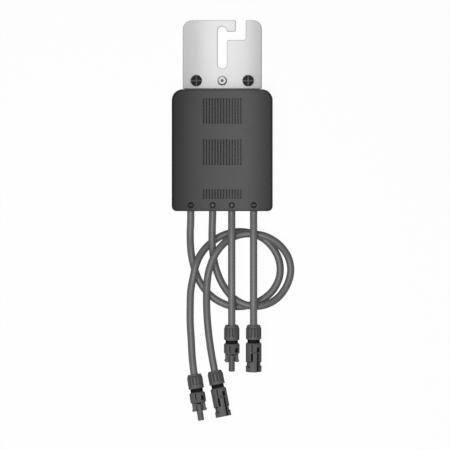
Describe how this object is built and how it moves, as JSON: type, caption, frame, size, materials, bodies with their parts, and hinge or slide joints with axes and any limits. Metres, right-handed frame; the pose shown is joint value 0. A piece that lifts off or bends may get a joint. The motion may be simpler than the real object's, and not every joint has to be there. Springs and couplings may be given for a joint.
{
  "type": "power optimizer",
  "caption": "Flat sealed solar power optimizer with a crowned grooved cover, hooked rail plate, and long and short leads ending in locking connectors.",
  "frame": {"origin": "centre of the housing's flat back face", "axes": "+X across the front, +Y from the leads towards the mounting plate, +Z out of the front face"},
  "size_m": [0.1227, 0.4007, 0.025],
  "materials": {
    "base_metal": "mill finish",
    "cover_plastic": "fine moulded grain",
    "rubber": "matt",
    "steel": "zinc plated",
    "plate_metal": "satin",
    "black_screw": "black satin",
    "board": "solder resist",
    "ferrite": "sintered",
    "copper": "enamelled",
    "film": "moulded",
    "chip": "moulded",
    "pad": "soft",
    "contact": "tinned",
    "cable_jacket": "matt jacket",
    "connector_plastic": "moulded"
  },
  "bodies": {
    "root": {"base_plate": "base_metal", "front_cover": "cover_plastic", "cover_seal": "rubber", "cover_screws": "steel", "mounting_plate": "plate_metal", "plate_screws": "black_screw", "earthing_rivet": "plate_metal", "circuit_board": "board", "board_screws": "steel", "inductor_core": "ferrite", "inductor_coil": "copper", "input_capacitors": "film", "output_capacitors": "film", "power_transistors": "chip", "thermal_pad": "pad", "bypass_diode": "chip", "control_chip": "chip", "wire_terminals": "contact", "cable_bushes": "rubber", "output_minus_cable": "cable_jacket", "output_minus_nut": "connector_plastic", "output_minus_seal": "rubber", "output_minus_ring": "rubber", "output_minus_body": "connector_plastic", "output_minus_contact": "contact", "output_plus_cable": "cable_jacket", "output_plus_nut": "connector_plastic", "output_plus_seal": "rubber", "output_plus_ring": "rubber", "output_plus_body": "connector_plastic", "output_plus_contact": "contact", "input_plus_cable": "cable_jacket", "input_plus_nut": "connector_plastic", "input_plus_seal": "rubber", "input_plus_ring": "rubber", "input_plus_body": "connector_plastic", "input_plus_contact": "contact", "input_minus_cable": "cable_jacket", "input_minus_nut": "connector_plastic", "input_minus_seal": "rubber", "input_minus_ring": "rubber", "input_minus_body": "connector_plastic", "input_minus_contact": "contact"}
  },
  "joints": []
}
